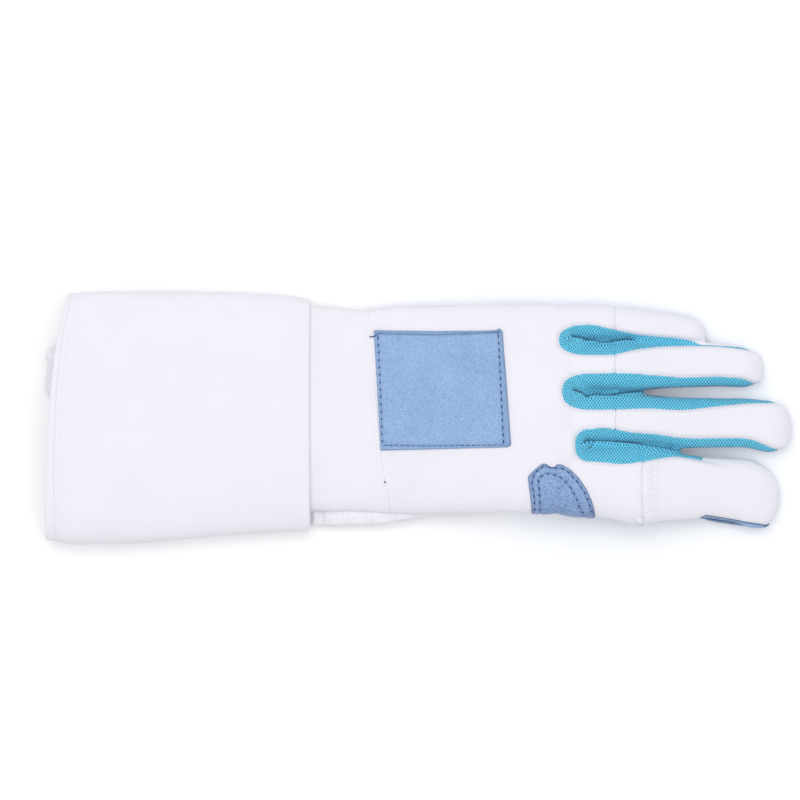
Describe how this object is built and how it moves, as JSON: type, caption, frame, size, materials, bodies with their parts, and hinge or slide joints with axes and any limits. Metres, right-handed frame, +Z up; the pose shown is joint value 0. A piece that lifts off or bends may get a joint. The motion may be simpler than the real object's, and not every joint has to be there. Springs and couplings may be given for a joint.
{
  "type": "fencing glove",
  "caption": "Left-hand fencing glove with a padded white back, blue suede palm, knitted strips between the fingers and a long turned-back cuff, lying on its palm.",
  "frame": {"origin": "middle of the footprint, on the surface that the glove lies on", "axes": "+X from the cuff's mouth to the fingertips, +Y to the little finger's side, +Z up out of the back of the hand"},
  "size_m": [0.3724, 0.1266, 0.0358],
  "materials": {
    "white_fabric": "soft brushed white cloth with a faint lavender cast",
    "mesh_fabric": "coarse knitted mesh in two blues",
    "suede": "napped pale blue suede, matt"
  },
  "bodies": {
    "root": {"hand_back": "white_fabric", "finger_back_little": "white_fabric", "finger_back_ring": "white_fabric", "finger_back_middle": "white_fabric", "finger_back_index": "white_fabric", "fourchette_little_ring": "mesh_fabric", "fourchette_ring_middle": "mesh_fabric", "fourchette_middle_index": "mesh_fabric", "palm": "suede", "thumb_back": "white_fabric", "thumb_front": "suede", "index_root_patch": "suede", "index_edge_binding": "suede", "back_patch": "suede", "sleeve": "white_fabric", "wrist_gusset": "white_fabric", "cuff": "white_fabric", "mouth_tab": "white_fabric"}
  },
  "joints": []
}
